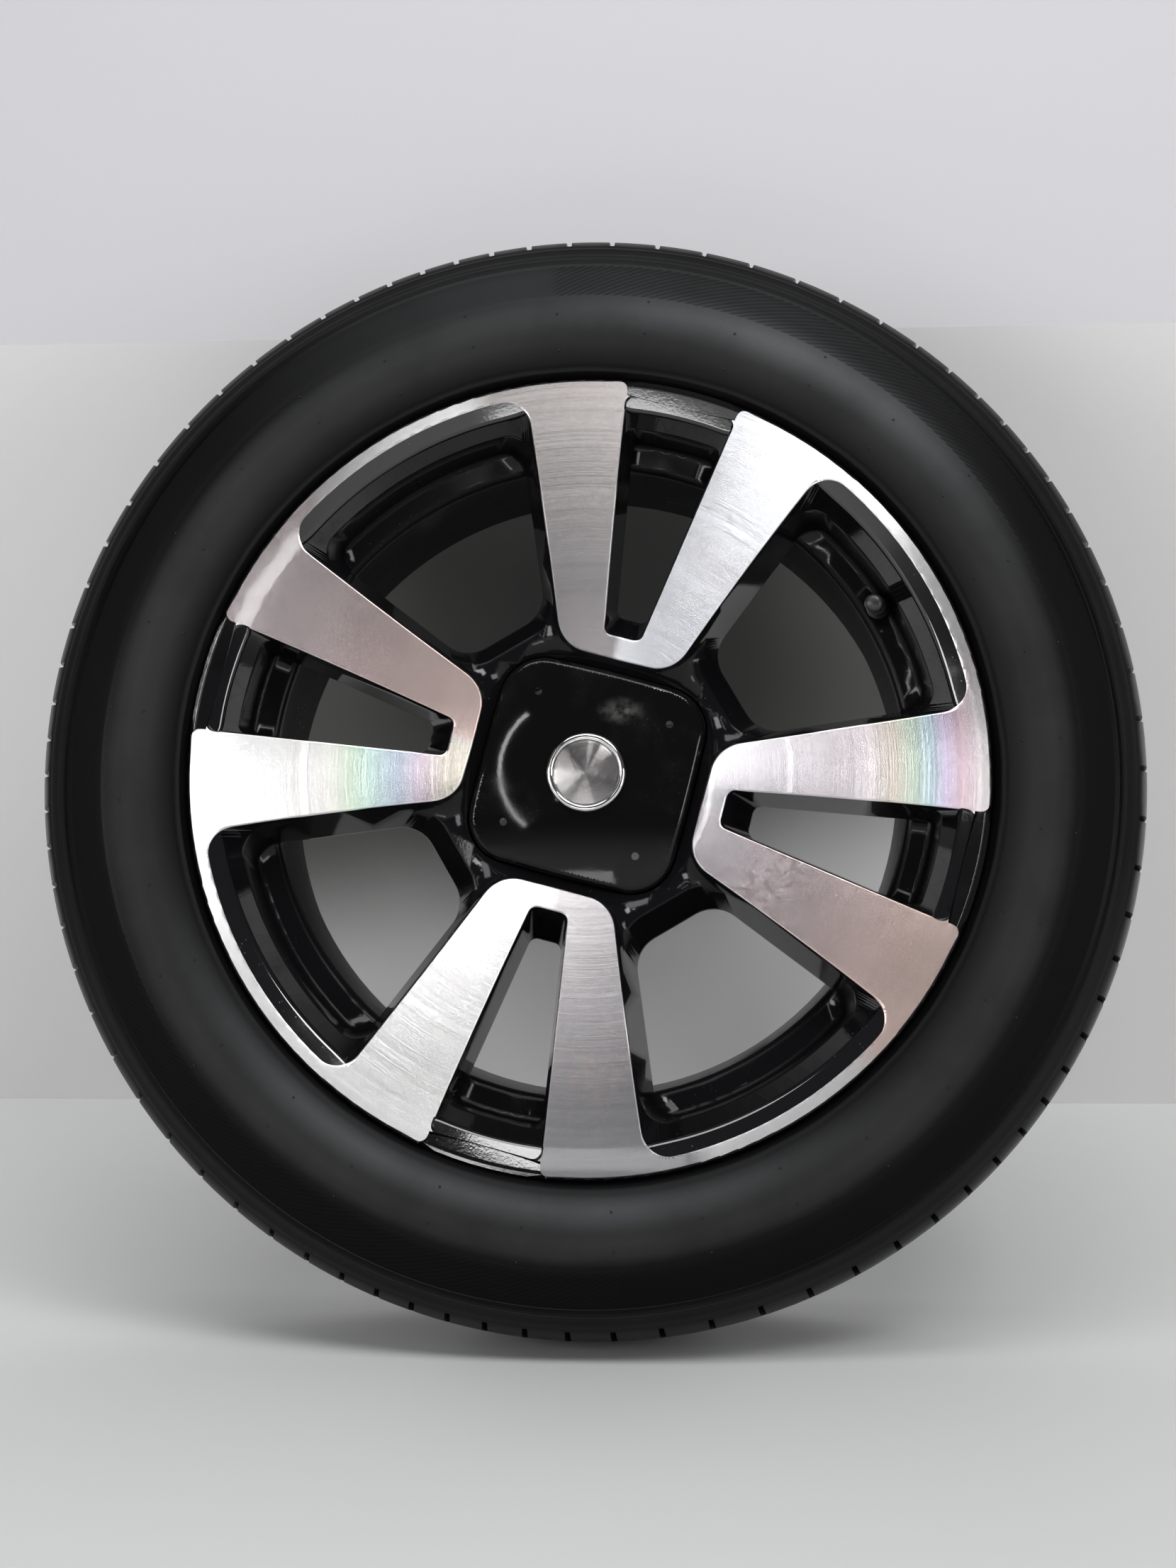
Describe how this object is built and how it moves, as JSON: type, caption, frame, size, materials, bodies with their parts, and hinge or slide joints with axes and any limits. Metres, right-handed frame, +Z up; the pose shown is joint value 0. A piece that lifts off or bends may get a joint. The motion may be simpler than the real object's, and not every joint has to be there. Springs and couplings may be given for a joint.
{
  "type": "wheel and tyre assembly",
  "caption": "Car road wheel: low-profile radial tyre on a two-tone cast alloy rim with paired spokes, a square domed centre cap and a snap-in valve.",
  "frame": {"origin": "centre of the wheel on the spin axis, midway between the rim flanges", "axes": "+Y inboard along the spin axis, -Y is the face that shows on the car, +Z up"},
  "size_m": [0.6399, 0.201, 0.64],
  "materials": {
    "tyre": "matte moulded rubber with a faint blue-grey bloom",
    "alloy": "turned bright spoke faces under clear lacquer, gloss black paint elsewhere",
    "cap_plastic": "gloss black moulding",
    "badge_chrome": "bright plated disc",
    "spring_steel": "drawn spring wire",
    "valve_rubber": "satin moulded rubber",
    "valve_brass": "turned brass",
    "valve_cap_plastic": "satin black moulding",
    "seal_rubber": "soft moulded rubber"
  },
  "bodies": {
    "wheel": {"tyre": "tyre", "alloy_wheel": "alloy", "valve_body": "valve_rubber", "valve_stem": "valve_brass", "valve_core_housing": "valve_brass", "valve_core_seal": "seal_rubber", "valve_spring": "spring_steel"},
    "centre_cap": {"centre_cap": "cap_plastic", "cap_badge": "badge_chrome", "cap_clip_ring": "spring_steel"},
    "valve_cap_seal": {"valve_cap_seal": "seal_rubber"},
    "valve_cap": {"valve_cap": "valve_cap_plastic"},
    "valve_pin": {"valve_pin": "valve_brass"}
  },
  "joints": [
    {"name": "cap_pull", "type": "slide", "parent": "wheel", "child": "centre_cap", "axis": [0, -1, 0], "range_m": [0, 0.04]},
    {"name": "valve_cap_lift", "type": "slide", "parent": "wheel", "child": "valve_cap_seal", "axis": [-0.2091, -0.9703, -0.1217], "range_m": [0, 0.02]},
    {"name": "valve_cap_turn", "type": "hinge", "parent": "valve_cap_seal", "child": "valve_cap", "pos_m": [0.16681, -0.0548, 0.09708], "axis": [-0.2091, -0.9703, -0.1217], "range_deg": [0, 2520]},
    {"name": "pin_press", "type": "slide", "parent": "wheel", "child": "valve_pin", "axis": [0.2091, 0.9703, 0.1217], "range_m": [0, 0.0015], "stiffness_N_per_m": 800, "deforming": ["valve_spring"]}
  ]
}
